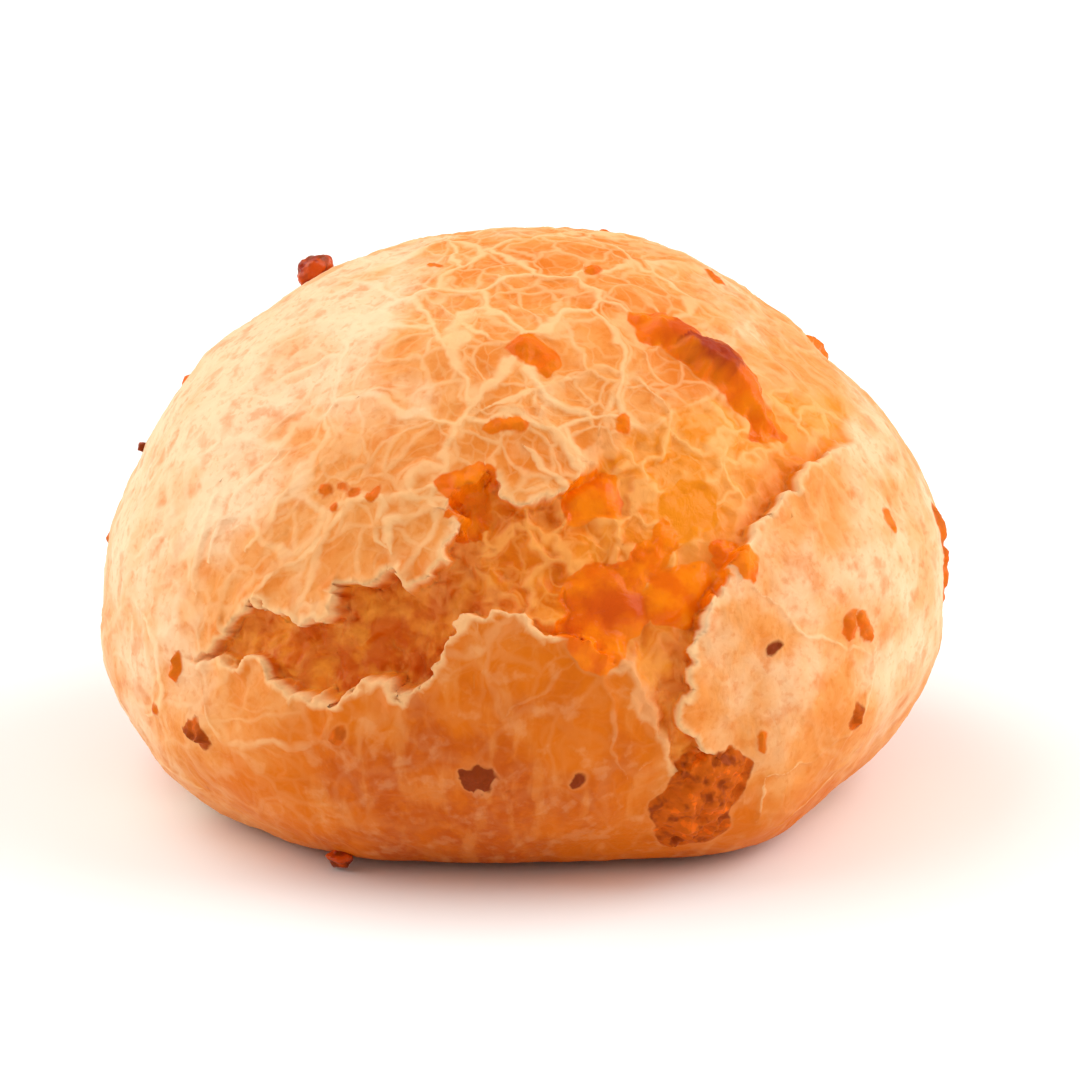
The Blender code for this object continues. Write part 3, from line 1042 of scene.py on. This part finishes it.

# The tones that the crust turns into as it bakes, and between which amounts. Low on the front the
# darker tones are partly painted shade
Tone = namedtuple("Tone", "low high colour")
TONES = (
    Tone(0, 0.42, PEACH),
    Tone(0.36, 0.74, BAKED),
    Tone(0.74, 1.05, UNDERSIDE),
)


def new_material(name):
    """A material, with a graph of its nodes and its shader."""
    material = bpy.data.materials.new(name)
    material.use_nodes = True
    return material, Graph(material.node_tree), material.node_tree.nodes["Principled BSDF"]


def attribute(graph, name):
    node = graph.add("ShaderNodeAttribute", attribute_name=name)
    return node.outputs["Vector" if name in ("grain", "foam", "place") else "Fac"]


def net_lines(graph, nets, grain, strength):
    """How pale each place is because a line of the nets is near, from 0 to 1."""
    found = 0.0
    for net in nets:
        away = graph.lines(grain, net.size)
        found = graph.math("MAXIMUM", found, graph.rise(away, net.width * 1.15, net.width * 0.1, net.shade))
    return graph.times(found, strength)


def crust_colour(graph, place, bake_and_shade, cracks_and_highlight):
    # the baked tone, which low on the front is partly painted shade
    bake_and_shade = graph.math("ADD", bake_and_shade, graph.rise(graph.noise(place, 5, 4), 0.3, 0.7, 0.3))
    bake_and_shade = graph.math("SUBTRACT", bake_and_shade, 0.15)
    colour = CREAM
    for tone in TONES:
        colour = graph.mix(graph.rise(bake_and_shade, tone.low, tone.high), colour, tone.colour)
    upright = graph.add("ShaderNodeMapping", {"Vector": place, "Scale": UPRIGHT_STREAKS}).outputs[0]
    streaks = graph.rise(graph.noise(upright, 1.3, 4), 0.5, 0.68, 0.4)
    colour = graph.mix(graph.times(streaks, graph.rise(bake_and_shade, 0.45, 0.8)), colour, PEACH)
    blotches = graph.noise(place, 1.4, 4)
    colour = graph.mix(graph.rise(blotches, 0.5, 0.7, 0.45), colour, BAKED)
    colour = graph.mix(graph.rise(blotches, 0.47, 0.32, 0.16), colour, PALE)
    speckles = graph.noise(place, 0.45, 3)
    colour = graph.mix(graph.rise(speckles, 0.52, 0.68, 0.28), colour, BAKED)
    # the pale cracks, lines and cheese halos, with the painted highlight along the lips
    return graph.mix(cracks_and_highlight, colour, graph.mix(graph.rise(bake_and_shade, 0.1, 0.45), PALEST, PALE))


def inside_colour(graph, place, bubbles, skin, beyond, crisp):
    walls = net_lines(graph, BUBBLES, attribute(graph, "foam"), 1)
    patches = graph.noise(place, 2.2, 4)
    colour = graph.mix(graph.rise(patches, 0.38, 0.62), CRUMB_DEEP, CRUMB_LIGHT)
    colour = graph.mix(graph.times(bubbles, 0.7), colour, AMBER)
    streaks = graph.add("ShaderNodeMapping", {"Vector": place, "Scale": UPRIGHT_STRANDS}).outputs[0]
    strands = graph.noise(streaks, 0.9, 4)
    near_edge = graph.rise(beyond, -3.2, -0.4, 0.85)
    pale = graph.math("MAXIMUM", near_edge, graph.times(bubbles, 0.3))
    colour = graph.mix(graph.times(graph.rise(strands, 0.5, 0.64, 0.6), pale), colour, STRAND)
    # the bubble walls are paler than the pockets: partly the crumb's own colour, partly painted highlight
    pale_walls_and_highlight = graph.times(walls, graph.math("MULTIPLY_ADD", bubbles, 0.7, 0.12))
    colour = graph.mix(pale_walls_and_highlight, colour, STRAND)
    wrinkles = graph.rise(graph.noise(place, 2, 4), 0.4, 0.6, 0.5)
    stretched = graph.mix(graph.math("MAXIMUM", walls, wrinkles), SKIN_AMBER, SKIN_PALE)
    # painted shade: the stretched skin beside a broken lip is darkened to amber
    shade_by_lip = graph.times(graph.rise(beyond, -3, -0.8, 0.8), crisp)
    return graph.mix(skin, colour, graph.mix(shade_by_lip, stretched, AMBER))


def cheese_colour(graph, place, burn, core):
    melted = graph.rise(graph.noise(place, 1.8, 3), 0.38, 0.62)
    colour = graph.mix(melted, CHEESE_ORANGE, CHEESE_BRIGHT)
    roasted = graph.noise(place, 0.9, 4)
    burnt = graph.mix(graph.rise(roasted, 0.48, 0.68, 0.8), CHEESE_BROWN, CHEESE_DARK)
    burnt = graph.mix(graph.rise(roasted, 0.42, 0.34), burnt, CHEESE_ORANGE)
    colour = graph.mix(burn, colour, burnt)
    colour = graph.mix(graph.rise(burn, 1, 2), colour, CHEESE_DARK)
    colour = graph.mix(graph.rise(burn, 0, -1), colour, SKIN_AMBER)
    middle = graph.mix(graph.rise(burn, 0.1, 0.35), CHEESE_RED, CHEESE_PURPLE)
    return graph.mix(graph.times(core, 0.95), colour, middle)


def bread_material():
    material, graph, shader = new_material("bread")
    grain, place, beyond, crisp, level = (
        attribute(graph, name) for name in ("grain", "place", "beyond", "crisp", "cheese")
    )
    bubbles, skin, bake_and_shade, burn = (attribute(graph, name) for name in ("bubbles", "skin", "bake_and_shade", "burn"))
    cracks_and_highlight = net_lines(graph, NETS, grain, attribute(graph, "crackle"))
    faint = graph.rise(graph.noise(place, 2.5), 0.3, 0.62, 0.75)
    faint = graph.times(faint, graph.rise(bake_and_shade, 1, 0.4))
    line = graph.times(graph.rise(attribute(graph, "line"), 1.2, 0.2), faint)
    # painted highlight: the rounded edge of each broken lip is painted pale, in the cracks' colour
    lip_highlight = graph.times(graph.rise(beyond, 0.42, 0.05, 0.75), crisp)
    halo = graph.rise(level, -0.4, -0.05, 0.12)
    for mark in (line, lip_highlight, halo):
        cracks_and_highlight = graph.math("MAXIMUM", cracks_and_highlight, mark)
    colour = crust_colour(graph, place, bake_and_shade, cracks_and_highlight)
    # the inside's colour starts at a broken edge, and fades in over 2.5 mm where the crust only stretched
    start = graph.math("MULTIPLY_ADD", crisp, -0.1, -0.02)
    wall = graph.math("MULTIPLY_ADD", crisp, 2.2, -2.5)
    torn = graph.rise(beyond, start, wall)
    colour = graph.mix(torn, colour, inside_colour(graph, place, bubbles, skin, beyond, crisp))
    cheesy = graph.rise(level, -0.1, 0.14)
    cheese = cheese_colour(graph, place, burn, attribute(graph, "core"))
    graph.tree.links.new(graph.mix(cheesy, colour, cheese), shader.inputs["Base Color"])
    roughness = graph.math("MULTIPLY_ADD", torn, -0.16, 0.5)
    gloss = graph.times(cheesy, graph.math("ADD", graph.rise(burn, 0, 1, 0.22), -0.16))
    roughness = graph.math("ADD", roughness, gloss)
    graph.tree.links.new(roughness, shader.inputs["Roughness"])
    shader.inputs["Specular IOR Level"].default_value = BREAD_SPECULAR
    graph.bump(shader, graph.noise(grain, 0.5, 3), BREAD_BUMP)
    return material


def crumb_material():
    material, graph, shader = new_material("cheese_crumbs")
    place = graph.add("ShaderNodeTexCoord").outputs["Object"]
    patches = graph.rise(graph.noise(place, 0.8 * MM, 3), 0.42, 0.58)
    dark = graph.mix(patches, CHEESE_PURPLE, CHEESE_DARK)
    climb = graph.rise(graph.noise(place, 1.4 * MM, 2), 0.45, 0.6)
    graph.tree.links.new(graph.mix(climb, dark, CHEESE_RED), shader.inputs["Base Color"])
    shader.inputs["Roughness"].default_value = CRUMB_ROUGHNESS
    shader.inputs["Specular IOR Level"].default_value = CRUMB_SPECULAR
    graph.bump(shader, graph.noise(place, 0.3 * MM, 3), CRUMB_BUMP)
    return material


def make_crumbs(bread):
    """The crumbs of cheese that stand off the crust, as one mesh."""
    cloud = bmesh.new()
    centre = Vector((0, 0, WAIST_HEIGHT * MM))
    for index, crumb in enumerate(CRUMBS):
        out = Vector(direction(crumb.bearing, crumb.rise))
        start = centre + out * OUTSIDE
        place, normal = bread.ray_cast(start, -out)[1:3]
        turn = normal.to_track_quat("Z", "Y")
        found = bmesh.ops.create_icosphere(cloud, subdivisions=CRUMB_LEVELS, radius=1)
        for vert in found["verts"]:
            other = Vector((index, index, 0))
            shape = 1 + sum(depth * noise.noise(vert.co * count + other) for count, depth in CRUMB_DENTS)
            vert.co = turn @ (vert.co * CRUMB_SHAPE * shape * crumb.size * MM)
            vert.co += place + normal * CRUMB_LIFT * crumb.size * MM
    mesh = new_mesh("cheese_crumbs", cloud)
    mesh.shade_smooth()
    mesh.materials.append(crumb_material())
    return new_object("cheese_crumbs", mesh)


# The studio
FLOOR_SIZE = 1.6
CAMERA_RISE = 18
CAMERA_DISTANCE = 0.42
CAMERA_LENS = 212
AIM_RIGHT = 1.06 * MM
AIM_DOWN = 2.25 * MM
LIT_PLACE = Vector((0, 0, 0.015))
FLOOR_TONES = ((0.93, 0.93, 0.93, 1), (0.95, 0.95, 0.95, 1))
WARM_AIR = (1, 0.94, 0.82, 1)
AIR_STRENGTH = 0.58
LAMP_TINT = (0.95, 0.97, 1)
FLOOR_BLOTCHES = 0.05
Lamp = namedtuple("Lamp", "name place size power")
LAMPS = (
    Lamp("key", (-0.38, 0.09, 0.38), 0.7, 3.15),
    Lamp("fill", (0.44, 0.02, 0.32), 0.5, 2.6),
)


def make_floor():
    shape = bmesh.new()
    bmesh.ops.create_grid(shape, x_segments=1, y_segments=1, size=FLOOR_SIZE / 2)
    mesh = new_mesh("floor", shape)
    material, graph, shader = new_material("floor")
    place = graph.add("ShaderNodeTexCoord").outputs["Object"]
    shade = graph.mix(graph.noise(place, FLOOR_BLOTCHES, 3), *FLOOR_TONES)
    graph.tree.links.new(shade, shader.inputs["Base Color"])
    shader.inputs["Roughness"].default_value = FLOOR_ROUGHNESS
    mesh.materials.append(material)
    floor = new_object("floor", mesh)


def make_lamp(lamp):
    """A square lamp that faces the bread."""
    light = bpy.data.lights.new(lamp.name, "AREA")
    light.size = lamp.size
    light.energy = lamp.power
    light.color = LAMP_TINT
    holder = new_object(lamp.name, light)
    holder.location = lamp.place
    holder.rotation_euler = (LIT_PLACE - Vector(lamp.place)).to_track_quat("-Z", "Y").to_euler()


def make_studio():
    make_floor()
    for lamp in LAMPS:
        make_lamp(lamp)
    world = bpy.data.worlds.new("studio")
    world.use_nodes = True
    air = world.node_tree.nodes["Background"]
    air.inputs["Color"].default_value = WARM_AIR
    air.inputs["Strength"].default_value = AIR_STRENGTH
    bpy.context.scene.world = world
    bpy.context.scene.view_settings.view_transform = "Standard"


def make_camera():
    lens = bpy.data.cameras.new("camera")
    lens.lens = CAMERA_LENS
    camera = new_object("camera", lens)
    rise = math.radians(CAMERA_RISE)
    up = Vector((0, math.sin(rise), math.cos(rise)))
    aim = Vector((AIM_RIGHT, 0, HEIGHT / 2 * MM)) - up * AIM_DOWN
    camera.location = aim + Vector((0, -math.cos(rise), math.sin(rise))) * CAMERA_DISTANCE
    camera.rotation_euler = (math.pi / 2 - rise, 0, 0)
    bpy.context.scene.camera = camera


bread = make_bread()
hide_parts("bun")
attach(bread, "root")
crumbs = make_crumbs(bread)
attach(crumbs, "root")
make_studio()
make_camera()
